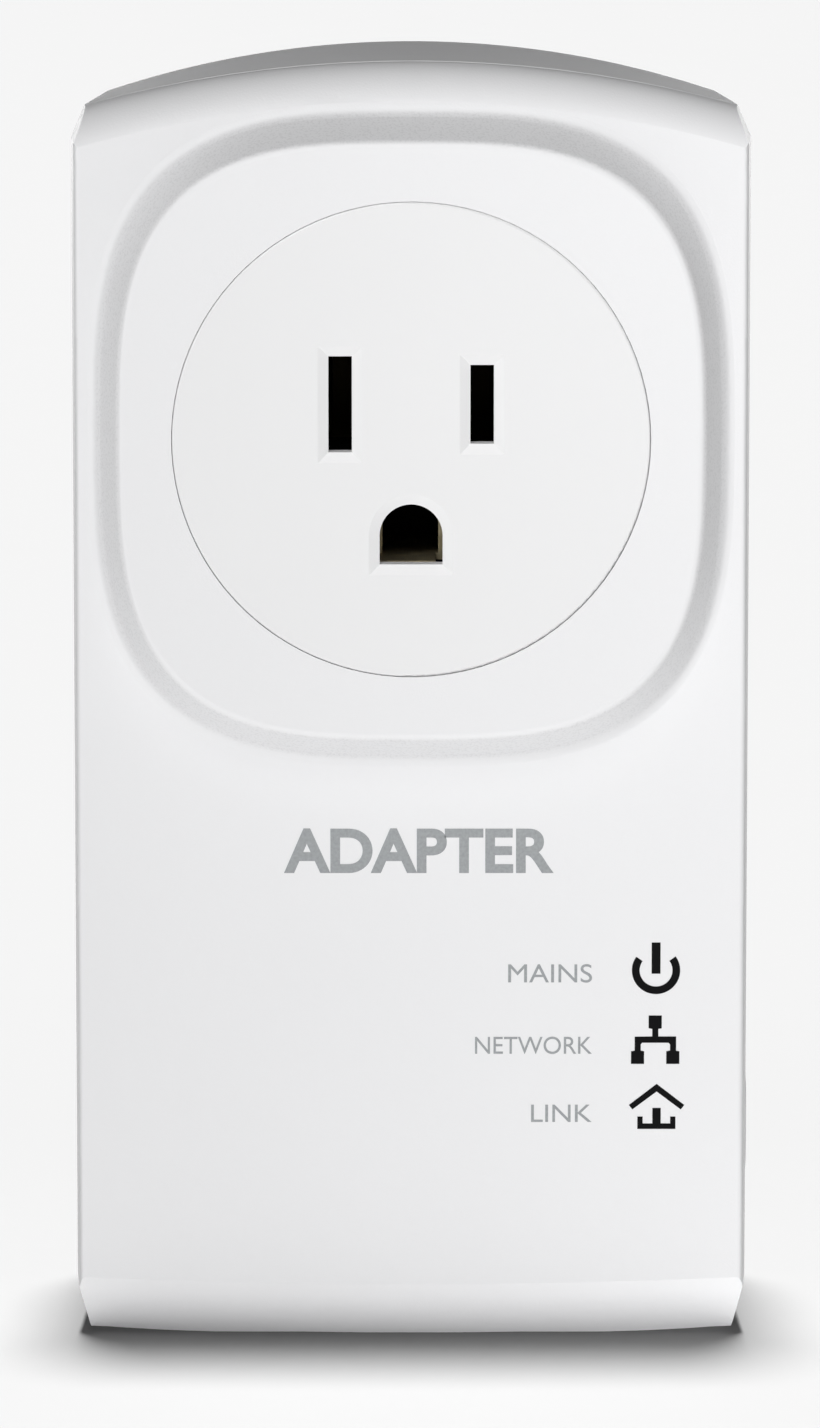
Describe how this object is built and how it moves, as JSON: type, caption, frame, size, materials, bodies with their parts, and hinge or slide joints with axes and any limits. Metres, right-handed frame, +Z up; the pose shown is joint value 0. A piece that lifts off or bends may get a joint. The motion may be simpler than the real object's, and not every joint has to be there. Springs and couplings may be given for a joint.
{
  "type": "powerline network adapter",
  "caption": "Wall-plug powerline adapter with a pass-through mains outlet in a raised pad, status lights, a pair button and a network port in its underside.",
  "frame": {"origin": "on the axis of the outlet and plug, in the plane of the rear face that meets the wall", "axes": "+Y points into the wall along the plug's pins, +Z points up with the object plugged in upright, +X is to the right seen from the front"},
  "size_m": [0.0614, 0.0566, 0.1171],
  "materials": {
    "board_green": "solder mask",
    "button_grey": "satin",
    "can_sleeve": "shrink sleeve",
    "capacitor_yellow": "moulded",
    "coil_tape": "polyester tape",
    "component_black": "moulded",
    "contact_brass": "stamped, dull",
    "contact_gold": "gold plated",
    "crystal_can": "drawn can",
    "ferrite": "sintered",
    "fuse_glass": "clear",
    "heat_sink_aluminium": "extruded",
    "housing_black": "moulded",
    "insulation_film": "translucent film",
    "jack_steel": "tinned",
    "label_paper": "printed film, left blank",
    "led_white": "clear resin",
    "light_pipe": "clear acrylic",
    "outlet_white": "semi-gloss moulding",
    "plug_metal": "nickel plated",
    "screw_steel": "zinc plated",
    "varistor_blue": "epoxy dipped",
    "white_shell": "fine satin moulding",
    "winding": "enamelled copper"
  },
  "bodies": {
    "adapter": {"board_header": "component_black", "bridge_rectifier": "component_black", "bulk_capacitors": "can_sleeve", "casing_screws": "screw_steel", "choke_core": "ferrite", "choke_windings": "winding", "comms_board": "board_green", "comms_board_screws": "screw_steel", "contact_housing": "housing_black", "coupling_transformer": "component_black", "crystal": "crystal_can", "film_capacitor": "capacitor_yellow", "front_cover": "white_shell", "fuse": "fuse_glass", "ground_busbar": "contact_brass", "ground_contact": "contact_brass", "ground_pin": "plug_metal", "heat_sink": "heat_sink_aluminium", "insulation_sheet": "insulation_film", "jack_body": "housing_black", "jack_contacts": "contact_gold", "jack_shell": "jack_steel", "lan_magnetics": "component_black", "light_guide": "light_pipe", "line_blade": "plug_metal", "line_busbar": "contact_brass", "line_contact": "contact_brass", "memory_chip": "component_black", "neutral_blade": "plug_metal", "neutral_busbar": "contact_brass", "neutral_contact": "contact_brass", "outlet_screws": "screw_steel", "output_capacitor": "can_sleeve", "pair_switch": "component_black", "plug_carrier": "housing_black", "power_board": "board_green", "power_board_screws": "screw_steel", "processor_chip": "component_black", "rating_label": "label_paper", "rear_casing": "white_shell", "reset_switch": "component_black", "socket_face": "outlet_white", "status_leds": "led_white", "transformer_coil": "coil_tape", "transformer_core": "ferrite", "varistor": "varistor_blue"},
    "pair_button_cap": {"pair_button": "button_grey", "pair_switch_plunger": "button_grey"},
    "reset_plunger": {"reset_switch_plunger": "button_grey"}
  },
  "joints": [
    {"name": "pair_button_press", "type": "slide", "parent": "adapter", "child": "pair_button_cap", "axis": [-1, 0, 0], "range_m": [0, 0.00035], "stiffness_N_per_m": 400, "springref_m": -0.0003},
    {"name": "reset_press", "type": "slide", "parent": "adapter", "child": "reset_plunger", "axis": [0, 0, 1], "range_m": [0, 0.00025], "stiffness_N_per_m": 400, "springref_m": -0.0003}
  ]
}
